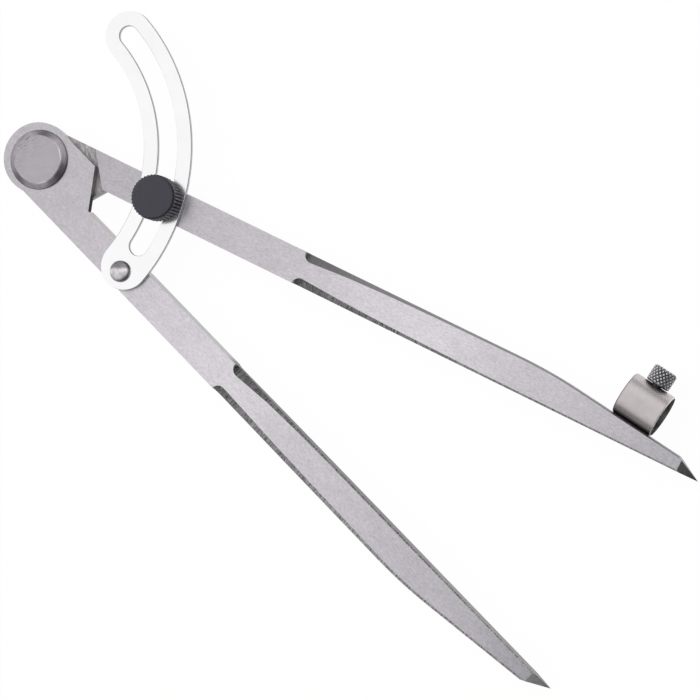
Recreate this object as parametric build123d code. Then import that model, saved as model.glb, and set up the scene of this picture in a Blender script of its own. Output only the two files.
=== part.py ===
from build123d import *
import math
import os

# Scribing compass, its legs open as in the photo. Units mm.
# The pivot stands on Z, +X runs midway between the legs to the points, +Z is the knob's side.
# A leg's own frame has x from the pivot to the point, y outward, z up from mid-thickness.

# Opening and fits
OPENING = 18.97             # angle between the legs
RUN_GAP = 0.05              # space at sliding faces and around shafts that turn

# Heights above the outer face of the rear disc
DISC_H = 1.9
LEG_T = 5.0
ARC_T = 1.35
LEG_BACK = DISC_H
LEG_MID = LEG_BACK + LEG_T / 2
LEG_FRONT = LEG_BACK + LEG_T
ARC_BACK = LEG_FRONT + RUN_GAP
ARC_FRONT = ARC_BACK + ARC_T
CLAMP_FACE = ARC_FRONT + RUN_GAP

# Leg outline
LEG_LEN = 200.4             # pivot to point
HEAD_X = -0.8               # middle of the round head, just behind the pivot
HEAD_R = 9.8
LEG_OUTER = 9.25            # pivot line to outer edge
LEG_INNER = 0.2             # pivot line to inner edge
TAPER_X = 153.2             # corner where the outer edge starts to slope
TAPER_ANGLE = 7.35
TAPER_R = 140.0             # rounding of that corner
TIP_X = 193.2               # corner where the point is cut across
TIP_T = 0.25                # thickness left at the point
FACET_LEN = 6.0             # ground facets on both faces of the point

# Half-lap joint
LAP_OUT_X = 12.9            # stop edge of the cheek, outer end
LAP_IN_X = 20.3             # stop edge of the cheek, inner end
STOP_GAP = 0.12             # space left at the stop when the compass is shut

# Scooped bevel along the four edges of a leg
BEVEL_X = 79.6
BEVEL_RUN_IN = 2.2          # length of the rounded start
BEVEL_MAX = 2.15            # width after the start
BEVEL_MIN = 0.4             # width it fades to
BEVEL_FADE_OUTER = (18.0, 50.0)   # length over which it narrows, upper and lower face
BEVEL_FADE_INNER = (25.0, 13.0)
BEVEL_STEP = 11.0           # space between the sections drawn there
BEVEL_DEPTH = 0.7           # depth as a share of the width
BEVEL_OVER = 0.6            # reach of the cutter out of the metal

# Pivot discs and pin
DISC_R = 8.2
DISC_TOP_R = 6.8
DISC_RIM = 0.45             # straight rim below the cone
PIN_R = 3.5
PEEN_R = 4.3
PEEN_H = 0.8

# Locking arc
ARC_X = -10.36              # centre of the slot's circle
ARC_Y = -4.64
ARC_R = 48.2
ARC_WIDTH = 13.5
SLOT_WIDTH = 5.3
SLOT_START = 2.05           # angles at that centre
SLOT_END = 75.5
ARC_START = -5.7
ARC_EDGE = 0.15             # broken edges of the plate

# Arc rivet, placed in the front leg's frame
RIVET_X = 39.0
RIVET_Y = 5.05
RIVET_R = 1.6
DOME_R = 2.95
DOME_H = 1.5
FOOT_R = 2.4                # countersunk foot, flush with the leg's back
FOOT_H = 0.8

# Lock knob and its stud, placed in the rear leg's frame
STUD_X = 36.5
STUD_Y = 4.8
STUD_R = 2.0                # M4 thread
STUD_END = 0.4              # chamfer of the lower end
NECK_R = 1.3                # relief neck where the stud passes the slot
NECK_DROP = 1.5             # start of the neck below the leg's front face
STUD_HOLD = 4.5             # length inside the knob
KNOB_R = 6.15
KNOB_H = 6.45
KNOB_CHAMFER = 0.6
TOOTH_COUNT = 40
TOOTH_DEPTH = 0.4

# Pencil ring, placed in the rear leg's frame
RING_X = 178.9
RING_Y = 12.05
RING_R = 6.0
RING_BORE_R = 4.2
RING_LEN = 11.9
RING_EDGE = 0.3             # chamfer of the tube's outer ends
BRAZE_LEN = 10.3
BRAZE_WIDTH = 3.4
BRAZE_BITE = 0.2            # depth of the braze in the leg's edge

# Pencil screw, on a radius of the ring that points away from the leg
SCREW_SHIFT = 0.1           # from the ring's middle towards the point
SCREW_R = 1.5               # M3 thread
SCREW_HEAD_R = 3.35
SCREW_HEAD_H = 4.65
SCREW_HEAD_GAP = 0.2        # space between the tube and the head
SCREW_HOLD = 2.6            # length inside the head
SCREW_RIM = 0.3             # chamfered rim at the head's base
SCREW_ROUND = 0.8           # rounding of the head's outer edge


def outer_edge(x):
    """Distance of the leg's outer edge from the pivot line."""
    angle = math.radians(TAPER_ANGLE)
    start = TAPER_X - TAPER_R * math.tan(angle / 2)
    if x < start:
        return LEG_OUTER
    if x < start + TAPER_R * math.sin(angle):
        return LEG_OUTER - TAPER_R + math.sqrt(TAPER_R**2 - (x - start) ** 2)
    return LEG_OUTER - math.tan(angle) * (x - TAPER_X)


def inner_edge(x):
    """Distance of the leg's straight inner edge from the pivot line."""
    return LEG_INNER


def bevel_width(x, length):
    """Width of the edge bevel: a quarter ellipse at the start, then a slow narrowing."""
    along = x - BEVEL_X
    if along < BEVEL_RUN_IN:
        return BEVEL_MAX * math.sqrt(1 - (1 - along / BEVEL_RUN_IN) ** 2)
    fade = math.exp((BEVEL_RUN_IN - along) / length)
    return BEVEL_MIN + (BEVEL_MAX - BEVEL_MIN) * fade


def bevel_stations():
    """Places along the leg where the bevel's section is drawn."""
    run_in = [BEVEL_X + BEVEL_RUN_IN * (step / 8) ** 2 for step in range(1, 9)]
    fade = [run_in[-1] + BEVEL_STEP * step for step in range(1, 6)]
    reach = TAPER_R * math.tan(math.radians(TAPER_ANGLE / 2))
    corner = [TAPER_X + reach * step / 2 for step in range(-2, 3)]
    return run_in + fade + corner + [LEG_LEN + 1]


def bevel_cutter(edge, out, face, length):
    """Long wedge over one edge; out and face are the signs of the way out of the metal."""
    sections = []
    for x in bevel_stations():
        y = edge(x)
        wide = bevel_width(x, length)
        high = face * (LEG_T / 2 + BEVEL_DEPTH * BEVEL_OVER)
        low = face * (LEG_T / 2 - BEVEL_DEPTH * (wide + BEVEL_OVER))
        near = y - out * (wide + BEVEL_OVER)
        far = y + out * BEVEL_OVER
        corners = [(x, near, high), (x, far, high), (x, far, low)]
        sections.append(Face(Wire.make_polygon(corners)))
    return loft(sections, ruled=True)


def tip_cutter():
    """Wedge that grinds one face of the point down."""
    start = LEG_LEN - FACET_LEN
    rise = (LEG_T - TIP_T) / 2
    wedge = Polyline(
        (start, LEG_T / 2),
        (LEG_LEN + FACET_LEN, LEG_T / 2 - 2 * rise),
        (LEG_LEN + FACET_LEN, LEG_T),
        (start, LEG_T),
        close=True,
    )
    return extrude(Plane.XZ * make_face(wedge), LEG_OUTER, both=True)


def blade_outline():
    """Blade of the leg from the pivot line to the point."""
    blade = make_face(
        Polyline(
            (0, LEG_INNER),
            (0, LEG_OUTER),
            (TAPER_X, LEG_OUTER),
            (TIP_X, outer_edge(TIP_X)),
            (LEG_LEN, LEG_INNER),
            close=True,
        )
    )
    corner = blade.vertices().sort_by_distance((TAPER_X, LEG_OUTER))[0]
    return fillet(corner, TAPER_R)


def cheek_outline():
    """Round head and the cheek that laps over the other leg."""
    cheek = Polyline(
        (HEAD_X, LEG_INNER),
        (HEAD_X, -HEAD_R),
        (LAP_OUT_X, -HEAD_R),
        (LAP_IN_X, LEG_INNER),
        close=True,
    )
    return Pos(HEAD_X, 0) * Circle(HEAD_R) + make_face(cheek)


def lap_room():
    """Area up to the shoulder, cleared in one half of the head for the other leg's cheek."""
    slope = (LAP_IN_X - LAP_OUT_X) / (HEAD_R + LEG_INNER)
    inner_x = LAP_IN_X + STOP_GAP + slope * HEAD_R
    outer_x = LAP_IN_X + STOP_GAP - slope * (2 * HEAD_R)
    return make_face(
        Polyline(
            (-2 * HEAD_R, -LEG_INNER - HEAD_R),
            (inner_x, -LEG_INNER - HEAD_R),
            (outer_x, -LEG_INNER + 2 * HEAD_R),
            (-2 * HEAD_R, -LEG_INNER + 2 * HEAD_R),
            close=True,
        )
    )


def leg_blank():
    """Forged leg both sides share: cheek in the lower half, shoulder in the upper half."""
    blade = blade_outline()
    lower = extrude(blade + cheek_outline(), (LEG_T - RUN_GAP) / 2)
    upper = extrude(blade - lap_room(), (LEG_T + RUN_GAP) / 2)
    leg = Pos(0, 0, -LEG_T / 2) * lower + Pos(0, 0, -RUN_GAP / 2) * upper
    for edge, out, lengths in ((outer_edge, 1, BEVEL_FADE_OUTER), (inner_edge, -1, BEVEL_FADE_INNER)):
        for face, length in zip((1, -1), lengths):
            leg -= bevel_cutter(edge, out, face, length)
    grind = tip_cutter()
    return leg - grind - mirror(grind, about=Plane.XY)


def in_rear_leg(shape):
    """Move a shape from the rear leg's frame to its place."""
    return Pos(0, 0, LEG_MID) * Rot(0, 0, OPENING / 2) * shape


def in_front_leg(shape):
    """Move a shape from the front leg's frame to its place: the blank turned over."""
    return Pos(0, 0, LEG_MID) * Rot(0, 0, -OPENING / 2) * Rot(180, 0, 0) * shape


def in_ring(shape):
    """Move a shape from the ring's frame, x along the tube and y off the leg, to its place."""
    return in_rear_leg(Pos(RING_X, RING_Y, 0) * Rot(0, 0, -TAPER_ANGLE) * shape)


def along_y(radius, start, end):
    """Round bar about the y axis from start to end."""
    return Pos(0, (start + end) / 2, 0) * Rot(90, 0, 0) * Cylinder(radius, end - start)


def turned(*corners):
    """Solid turned about Z from the (radius, height) corners of its half section."""
    return revolve(Plane.XZ * make_face(Polyline(*corners, close=True)), Axis.Z)


def upright_hole(x, y, radius):
    """Drill through a leg, in its own frame."""
    return Pos(x, y, 0) * Cylinder(radius, 2 * LEG_T)


def braze():
    """Bar of braze between the tube and the leg's edge, in the ring's frame."""
    inner = (RING_R + RING_BORE_R) / 2
    edge_gap = (RING_Y - outer_edge(RING_X)) * math.cos(math.radians(TAPER_ANGLE))
    depth = edge_gap + BRAZE_BITE - inner
    return Pos(0, -inner - depth / 2, 0) * Box(BRAZE_LEN, depth, BRAZE_WIDTH)


def front_leg():
    """Leg that carries the pivot pin and the arc's rivet."""
    leg = in_front_leg(leg_blank() - upright_hole(0, 0, PIN_R))
    return leg - arc_rivet()


def rear_leg():
    """Leg that carries the lock stud and the pencil ring."""
    leg = leg_blank() - upright_hole(0, 0, PIN_R + RUN_GAP)
    leg -= upright_hole(STUD_X, STUD_Y, STUD_R + RUN_GAP)
    return in_rear_leg(leg) - in_ring(braze())


def pivot_pin():
    """Pin with the bevelled front disc; its end is peened over the rear disc."""
    return turned(
        (0, 0),
        (PEEN_R, 0),
        (PIN_R, PEEN_H),
        (PIN_R, LEG_FRONT),
        (DISC_R, LEG_FRONT),
        (DISC_R, LEG_FRONT + DISC_RIM),
        (DISC_TOP_R, LEG_FRONT + DISC_H),
        (0, LEG_FRONT + DISC_H),
    )


def pivot_washer():
    """Rear disc, the same size as the front one."""
    return turned(
        (PEEN_R, 0),
        (DISC_TOP_R, 0),
        (DISC_R, DISC_H - DISC_RIM),
        (DISC_R, DISC_H - RUN_GAP),
        (PIN_R, DISC_H - RUN_GAP),
        (PIN_R, PEEN_H),
    )


def locking_arc():
    """Slotted plate that swings on the rivet and is clamped by the knob."""
    centre = (ARC_X, ARC_Y)
    body = CenterArc(centre, ARC_R, ARC_START, SLOT_END - ARC_START)
    slot = CenterArc(centre, ARC_R, SLOT_START, SLOT_END - SLOT_START)
    plate = extrude(SlotArc(body, ARC_WIDTH) - SlotArc(slot, SLOT_WIDTH), ARC_T)
    edges = plate.edges().group_by(Axis.Z)
    plate = Pos(0, 0, ARC_BACK) * chamfer(edges[0] + edges[-1], ARC_EDGE)
    drill = Pos(RIVET_X, RIVET_Y, 0) * Cylinder(RIVET_R + RUN_GAP, 4 * LEG_T)
    return plate - in_front_leg(drill)


def arc_rivet():
    """Domed rivet, tight in the front leg, with the arc free under its dome."""
    dome_top = CLAMP_FACE + DOME_H
    ball = (DOME_R**2 + DOME_H**2) / (2 * DOME_H)
    shank = turned(
        (0, LEG_BACK),
        (FOOT_R, LEG_BACK),
        (RIVET_R, LEG_BACK + FOOT_H),
        (RIVET_R, CLAMP_FACE),
        (0, CLAMP_FACE),
    )
    cap = Pos(0, 0, CLAMP_FACE + DOME_H / 2) * Cylinder(DOME_R, DOME_H)
    dome = cap & Pos(0, 0, dome_top - ball) * Sphere(ball)
    place = in_front_leg(Pos(RIVET_X, RIVET_Y, 0) * Rot(180, 0, 0))
    return place * Pos(0, 0, -LEG_MID) * (shank + dome)


def lock_stud():
    """Threaded stud with a thin neck where it passes the arc's slot."""
    foot = LEG_BACK + STUD_END
    stud = turned(
        (0, foot),
        (STUD_R - STUD_END, foot),
        (STUD_R, foot + STUD_END),
        (STUD_R, LEG_FRONT - NECK_DROP),
        (NECK_R, LEG_FRONT - NECK_DROP),
        (NECK_R, CLAMP_FACE + STUD_HOLD),
        (0, CLAMP_FACE + STUD_HOLD),
    )
    return in_rear_leg(Pos(STUD_X, STUD_Y, -LEG_MID) * stud)


def lock_knob():
    """Knob with straight teeth around its side."""
    teeth = []
    for step in range(2 * TOOTH_COUNT):
        radius = KNOB_R - TOOTH_DEPTH * (step % 2)
        angle = math.pi * step / TOOTH_COUNT
        teeth.append((radius * math.cos(angle), radius * math.sin(angle)))
    body = extrude(make_face(Polyline(*teeth, close=True)), KNOB_H)
    envelope = turned(
        (0, 0),
        (KNOB_R, 0),
        (KNOB_R, KNOB_H - KNOB_CHAMFER),
        (KNOB_R - KNOB_CHAMFER, KNOB_H),
        (0, KNOB_H),
    )
    socket_depth = STUD_HOLD + RUN_GAP
    socket = Pos(0, 0, socket_depth / 2) * Cylinder(NECK_R + RUN_GAP, socket_depth)
    knob = (body & envelope) - socket
    return in_rear_leg(Pos(STUD_X, STUD_Y, CLAMP_FACE - LEG_MID) * knob)


def pencil_ring():
    """Short tube brazed to the rear leg, with the screw's hole in its outer wall."""
    tube = Rot(0, 90, 0) * Cylinder(RING_R, RING_LEN)
    ends = tube.edges().filter_by(GeomType.CIRCLE)
    tube = chamfer(ends, RING_EDGE) + braze()
    tube -= Rot(0, 90, 0) * Cylinder(RING_BORE_R, 2 * RING_LEN)
    tube -= Pos(SCREW_SHIFT, 0, 0) * along_y(SCREW_R + RUN_GAP, 0, 2 * RING_R)
    return in_ring(tube)


def pencil_screw_shank():
    """Threaded shank whose end grips the pencil."""
    end = RING_R + SCREW_HEAD_GAP + SCREW_HOLD
    return in_ring(Pos(SCREW_SHIFT, 0, 0) * along_y(SCREW_R, RING_BORE_R, end))


def pencil_screw_head():
    """Thumb head of the pencil screw, its knurl left to the surface model."""
    base = RING_R + SCREW_HEAD_GAP
    head = turned(
        (0, 0),
        (SCREW_HEAD_R - SCREW_RIM, 0),
        (SCREW_HEAD_R, SCREW_RIM),
        (SCREW_HEAD_R, SCREW_HEAD_H),
        (0, SCREW_HEAD_H),
    )
    head = fillet(head.edges().group_by(Axis.Z)[-1], SCREW_ROUND)
    head = Pos(SCREW_SHIFT, base, 0) * Rot(-90, 0, 0) * head
    socket = along_y(SCREW_R + RUN_GAP, base - 1, base + SCREW_HOLD + RUN_GAP)
    return in_ring(head - Pos(SCREW_SHIFT, 0, 0) * socket)


PARTS = (
    front_leg,
    rear_leg,
    pivot_pin,
    pivot_washer,
    locking_arc,
    arc_rivet,
    lock_knob,
    lock_stud,
    pencil_ring,
    pencil_screw_head,
    pencil_screw_shank,
)

os.makedirs("parts", exist_ok=True)
for make in PARTS:
    export_step(make(), f"parts/{make.__name__}.step")
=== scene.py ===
from math import radians

import bmesh
import bpy
import numpy as np
from mathutils import Matrix, Vector


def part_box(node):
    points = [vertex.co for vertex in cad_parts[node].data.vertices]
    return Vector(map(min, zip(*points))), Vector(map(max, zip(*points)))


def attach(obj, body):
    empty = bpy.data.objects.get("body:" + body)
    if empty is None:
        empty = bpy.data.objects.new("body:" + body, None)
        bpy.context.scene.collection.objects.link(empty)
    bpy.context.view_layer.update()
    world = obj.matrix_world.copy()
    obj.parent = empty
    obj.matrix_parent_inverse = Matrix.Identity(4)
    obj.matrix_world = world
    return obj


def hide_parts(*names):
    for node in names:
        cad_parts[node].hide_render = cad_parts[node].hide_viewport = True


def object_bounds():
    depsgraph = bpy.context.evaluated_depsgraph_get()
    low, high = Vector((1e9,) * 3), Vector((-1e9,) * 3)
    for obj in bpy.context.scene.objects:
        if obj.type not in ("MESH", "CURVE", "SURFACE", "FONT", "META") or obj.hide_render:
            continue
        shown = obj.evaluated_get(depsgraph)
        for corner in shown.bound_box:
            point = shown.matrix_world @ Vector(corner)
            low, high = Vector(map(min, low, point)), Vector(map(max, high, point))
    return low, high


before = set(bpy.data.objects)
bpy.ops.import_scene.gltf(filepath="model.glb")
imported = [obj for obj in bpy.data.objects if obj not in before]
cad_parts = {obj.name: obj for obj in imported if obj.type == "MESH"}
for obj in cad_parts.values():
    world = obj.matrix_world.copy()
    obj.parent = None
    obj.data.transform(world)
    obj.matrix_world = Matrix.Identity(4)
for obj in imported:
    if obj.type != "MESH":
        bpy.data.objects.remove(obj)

# Scribing compass in metres: steel legs, slotted arc, black knob, pencil ring with a knurled screw.
# The pivot stands on Z, +X runs midway between the legs towards their points.

cadLow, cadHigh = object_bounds()
mm = 0.001
legTurn = 18.97 / 2      # degrees from +X to each leg at rest
taperTurn = 7.35         # degrees from a leg's line to its tapered outer edge

scene = bpy.context.scene
scene.view_settings.view_transform = "Standard"


# Helpers for meshes

def putMesh(name, points, faces, finish, sharpAngle=35):
    # Rows of points and lists of corners become one object, smooth except over sharp edges
    mesh = bpy.data.meshes.new(name)
    mesh.from_pydata(np.asarray(points).reshape(-1, 3), [], faces)
    mesh.update()
    piece = bpy.data.objects.new(name, mesh)
    scene.collection.objects.link(piece)
    mesh.materials.append(finish)
    markSharp(mesh, sharpAngle)
    return piece


def markSharp(mesh, sharpAngle):
    # Every face is smooth, and an edge is sharp where its two faces turn by more than the angle
    shape = bmesh.new()
    shape.from_mesh(mesh)
    for face in shape.faces:
        face.smooth = True
    for edge in shape.edges:
        edge.smooth = edge.calc_face_angle(0) < radians(sharpAngle)
    shape.to_mesh(mesh)
    shape.free()


def axisFrame(origin, axis):
    # Matrix that takes a shape turned about Z to the given origin and axis
    turn = Vector((0, 0, 1)).rotation_difference(Vector(axis)).to_matrix().to_4x4()
    return np.array(Matrix.Translation(Vector(origin)) @ turn)


def moved(points, place):
    # Each point times the place's turn, plus its shift
    return points @ place[:3, :3].T + place[:3, 3]


cornerShare = 0.45       # the most of a side that the rounding of one corner may take


def softProfile(corners, rounding, steps=4, closed=False):
    # Each corner of a profile is replaced by a parabola that starts and ends one rounding away:
    # (1 - s)^2 start + 2 s (1 - s) corner + s^2 end, with s from 0 to 1
    corners = np.asarray(corners, float)
    rounding = np.broadcast_to(rounding, len(corners))
    share = np.linspace(0, 1, steps + 1)[:, None]
    count = len(corners)
    parts = []
    for index in range(count):
        here = corners[index]
        if not closed and index in (0, count - 1):
            parts.append(here[None])
            continue
        before = corners[index - 1] - here
        after = corners[(index + 1) % count] - here
        beforeLength = np.linalg.norm(before)
        afterLength = np.linalg.norm(after)
        cut = min(rounding[index], beforeLength * cornerShare, afterLength * cornerShare)
        start = here + before / beforeLength * cut
        end = here + after / afterLength * cut
        parts.append((1 - share) ** 2 * start + 2 * share * (1 - share) * here + share ** 2 * end)
    return np.concatenate(parts)


def ringFaces(rows, columns, wrapRows=False):
    # Quads between neighbouring rows of a grid whose columns go round
    row = np.arange(rows if wrapRows else rows - 1)[:, None]
    column = np.arange(columns)[None]
    nextRow = (row + 1) % rows
    nextColumn = (column + 1) % columns
    quads = np.stack(
        [
            row * columns + column,
            row * columns + nextColumn,
            nextRow * columns + nextColumn,
            nextRow * columns + column,
        ],
        axis=-1,
    )
    return quads.reshape(-1, 4).tolist()


def turnedPiece(name, profile, sides, place, finish, shaping=None, sharpAngle=35):
    # Surface of revolution: a point is (radius cos angle, radius sin angle, height), where radius and
    # height run along the profile and the angle goes round. The profile starts and ends on the axis,
    # and a fan of triangles closes the surface at each pole.
    # The shaping moves the points and gives each a share of painted shade, from 0 to 1: how far it
    # lies down a groove, or where the pivot's cone has its darker foot.
    profile = np.asarray(profile, float)
    angle = np.arange(sides) * (2 * np.pi / sides)
    radius = np.repeat(profile[1:-1, :1], sides, axis=1)
    height = np.repeat(profile[1:-1, 1:], sides, axis=1)
    groove = np.zeros_like(radius)
    if shaping:
        radius, height, groove = shaping(radius, height, angle[None])
    grid = np.stack([radius * np.cos(angle), radius * np.sin(angle), height], axis=-1)
    rows = len(grid)
    poles = np.array([[0, 0, profile[0, 1]], [0, 0, profile[-1, 1]]])
    points = np.concatenate([grid.reshape(-1, 3), poles])
    around = np.arange(sides)
    ahead = (around + 1) % sides
    first = np.full(sides, rows * sides)
    lastRow = (rows - 1) * sides
    startFan = np.stack([first, ahead, around], axis=-1).tolist()
    endFan = np.stack([first + 1, lastRow + around, lastRow + ahead], axis=-1).tolist()
    faces = ringFaces(rows, sides) + startFan + endFan
    piece = putMesh(name, moved(points, place), faces, finish, sharpAngle)
    grooveShade = piece.data.attributes.new("groove", "FLOAT", "POINT")
    grooveShade.data.foreach_set("value", np.append(np.broadcast_to(groove, radius.shape), [0, 0]))
    return piece


def hoopPiece(name, section, sides, finish):
    # Closed section swept round Z: a point is (radius cos angle, radius sin angle, height)
    angle = np.arange(sides) * (2 * np.pi / sides)
    radius = section[:, :1]
    height = np.repeat(section[:, 1:], sides, axis=1)
    grid = np.stack([radius * np.cos(angle), radius * np.sin(angle), height], axis=-1)
    return putMesh(name, grid, ringFaces(len(section), sides, True), finish)


skinLook = {
    "weld": 0.002 * mm,      # points nearer to each other than this become one
    "flatTurn": 0.3,         # degrees up to which neighbouring faces are one flat face
    "sharpTurn": 25,         # degrees above which an edge is sharp and gets its bevel
    "bevelSegments": 2,
}


def cadSkin(node, name, finishes, rounding):
    # The node's own surface with its triangles joined, and its edges broken by a small bevel
    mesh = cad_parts[node].data.copy()
    mesh.name = name
    mesh.materials.clear()
    shape = bmesh.new()
    shape.from_mesh(mesh)
    bmesh.ops.remove_doubles(shape, verts=shape.verts, dist=skinLook["weld"])
    flat = radians(skinLook["flatTurn"])
    bmesh.ops.dissolve_limit(shape, angle_limit=flat, verts=shape.verts, edges=shape.edges)
    shape.to_mesh(mesh)
    shape.free()
    for finish in finishes:
        mesh.materials.append(finish)
    markSharp(mesh, skinLook["sharpTurn"])
    piece = bpy.data.objects.new(name, mesh)
    scene.collection.objects.link(piece)
    bevel = piece.modifiers.new("brokenEdges", "BEVEL")
    bevel.width = rounding
    bevel.segments = skinLook["bevelSegments"]
    bevel.limit_method = "ANGLE"
    bevel.angle_limit = radians(skinLook["sharpTurn"])
    bevel.use_clamp_overlap = False
    bevel.harden_normals = True
    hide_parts(node)
    return piece


def faceRows(mesh, kind):
    # One row of x, y and z for each face, of its normal or of its center
    values = np.zeros(len(mesh.polygons) * 3)
    mesh.polygons.foreach_get(kind, values)
    return values.reshape(-1, 3)


def paintFaces(mesh, region):
    # Each face takes the finish whose number its region gives
    mesh.polygons.foreach_set("material_index", region.astype(int))


def settle(piece, body):
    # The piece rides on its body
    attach(piece, body)


# Helpers for materials

noiseSpan = (0.3, 0.7)    # most of a noise lies between these values
glossSpan = (0.25, 0.75)  # the steel's roughness changes between these values of its grain
cloudDetail = 2           # octaves of a soft cloud
fineDetail = 4            # octaves of a fine grain
fineRoughness = 0.7       # weight of each finer octave in it


def newMaterial(name):
    # A material with its node tree and its shader
    material = bpy.data.materials.new(name)
    material.use_nodes = True
    tree = material.node_tree
    return material, tree, tree.nodes["Principled BSDF"]


def grain(tree, size, turn=0, detail=3, roughness=0.6):
    # Noise whose features measure size along x, y and z, after the axes are turned about Z
    where = tree.nodes.new("ShaderNodeTexCoord")
    place = tree.nodes.new("ShaderNodeMapping")
    place.vector_type = "TEXTURE"
    place.inputs["Rotation"].default_value = (0, 0, radians(turn))
    place.inputs["Scale"].default_value = size
    noise = tree.nodes.new("ShaderNodeTexNoise")
    noise.inputs["Scale"].default_value = 1
    noise.inputs["Detail"].default_value = detail
    noise.inputs["Roughness"].default_value = roughness
    tree.links.new(where.outputs["Object"], place.inputs["Vector"])
    tree.links.new(place.outputs["Vector"], noise.inputs["Vector"])
    return noise.outputs["Fac"]


def ramp(tree, source, span, first, last):
    # The source between the span's ends becomes a tone or colour between first and last
    node = tree.nodes.new("ShaderNodeValToRGB")
    node.color_ramp.elements[0].position = span[0]
    node.color_ramp.elements[1].position = span[1]
    node.color_ramp.elements[0].color = first
    node.color_ramp.elements[1].color = last
    tree.links.new(source, node.inputs["Fac"])
    return node.outputs["Color"]


def grey(value):
    # The same value in red, green and blue
    return (value, value, value, 1)


def tint(color, share):
    # The colour made lighter or darker by a share
    return tuple(min(1, part * share) for part in color) + (1,)


def multiply(tree, first, second, factor=None):
    # The first colour times the second, or a share of that change where a factor is given
    node = tree.nodes.new("ShaderNodeMix")
    node.data_type = "RGBA"
    node.blend_type = "MULTIPLY"
    node.inputs["Factor"].default_value = 1
    if factor:
        tree.links.new(factor, node.inputs["Factor"])
    tree.links.new(first, node.inputs[6])        # colour A
    tree.links.new(second, node.inputs[7])       # colour B
    return node.outputs[2]                       # the mixed colour


def multiplyBase(material, second, factor=None):
    # The material's finished colour is multiplied once more
    tree = material.node_tree
    target = tree.nodes["Principled BSDF"].inputs["Base Color"]
    first = target.links[0].from_socket
    tree.links.new(multiply(tree, first, second, factor), target)


def addBump(tree, shader, source, depth):
    # The source, from 0 to 1, raises the surface by up to the depth
    bump = tree.nodes.new("ShaderNodeBump")
    bump.inputs["Strength"].default_value = 1
    bump.inputs["Distance"].default_value = depth
    tree.links.new(source, bump.inputs["Height"])
    tree.links.new(bump.outputs["Normal"], shader.inputs["Normal"])


def distance(tree, axis, origin=(0, 0, 0)):
    # How far a point lies along an axis, measured from the origin
    where = tree.nodes.new("ShaderNodeTexCoord")
    shift = tree.nodes.new("ShaderNodeVectorMath")
    shift.operation = "SUBTRACT"
    shift.inputs[1].default_value = origin
    tree.links.new(where.outputs["Object"], shift.inputs[0])
    project = tree.nodes.new("ShaderNodeVectorMath")
    project.operation = "DOT_PRODUCT"
    project.inputs[1].default_value = axis
    tree.links.new(shift.outputs[0], project.inputs[0])
    return project.outputs["Value"]


def bearing(tree):
    # The angle atan2(y, x) of a point round Z, in radians from -pi to pi
    where = tree.nodes.new("ShaderNodeTexCoord")
    split = tree.nodes.new("ShaderNodeSeparateXYZ")
    angle = tree.nodes.new("ShaderNodeMath")
    angle.operation = "ARCTAN2"
    tree.links.new(where.outputs["Object"], split.inputs["Vector"])
    tree.links.new(split.outputs["Y"], angle.inputs[0])
    tree.links.new(split.outputs["X"], angle.inputs[1])
    return angle.outputs["Value"]


def toneAlong(tree, source, stops):
    # Grey that runs through the (distance or angle, tone) stops
    reach = tree.nodes.new("ShaderNodeMapRange")
    reach.inputs["From Min"].default_value = stops[0][0]
    reach.inputs["From Max"].default_value = stops[-1][0]
    tree.links.new(source, reach.inputs["Value"])
    node = tree.nodes.new("ShaderNodeValToRGB")
    node.color_ramp.interpolation = "EASE"
    span = stops[-1][0] - stops[0][0]
    for place, tone in stops[1:-1]:
        node.color_ramp.elements.new((place - stops[0][0]) / span).color = grey(tone)
    node.color_ramp.elements[0].color = grey(stops[0][1])
    node.color_ramp.elements[-1].color = grey(stops[-1][1])
    tree.links.new(reach.outputs["Result"], node.inputs["Fac"])
    return node.outputs["Color"]


def paintGrooveShade(tree, color, tone):
    # Painted shade: the colour is multiplied by a tone that falls to the given one where the groove
    # attribute is 1, at the bottom of a groove or in another shaded place
    depth = tree.nodes.new("ShaderNodeAttribute")
    depth.attribute_name = "groove"
    return multiply(tree, color, ramp(tree, depth.outputs["Fac"], (0, 1), grey(1), grey(tone)))


def steel(name, look, turn=0, shade=None):
    # Bare steel: clouds of tone times a fine directional grain, with the grain again in roughness and
    # bump. The shade, if any, is painted light and shade: an (axis, origin, stops) tone along the
    # piece that multiplies the colour. Where the look gives a tone for it, the groove attribute adds
    # painted shade. An edge tint darkens what the steel mirrors at a grazing angle.
    material, tree, shader = newMaterial(name)
    shader.inputs["Metallic"].default_value = 1
    cloud = grain(tree, look["cloudSize"], turn, cloudDetail)
    fine = grain(tree, look["grainSize"], turn, fineDetail, fineRoughness)
    base = look["color"]
    spread = look["cloudTone"]
    tone = ramp(tree, cloud, noiseSpan, tint(base, 1 - spread), tint(base, 1 + spread))
    depth = look["grainTone"] / 2
    lines = ramp(tree, fine, noiseSpan, grey(1 - depth), grey(1 + depth))
    color = multiply(tree, tone, lines)
    if shade:
        axis, origin, stops = shade
        color = multiply(tree, color, toneAlong(tree, distance(tree, axis, origin), stops))
    if "paintedShadeTone" in look:
        color = paintGrooveShade(tree, color, look["paintedShadeTone"])
    tree.links.new(color, shader.inputs["Base Color"])
    shader.inputs["Specular Tint"].default_value = look.get("edgeTint", (1, 1, 1, 1))
    low, high = look["roughness"]
    tree.links.new(ramp(tree, fine, glossSpan, grey(high), grey(low)), shader.inputs["Roughness"])
    addBump(tree, shader, fine, look["bump"])
    return material


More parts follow.
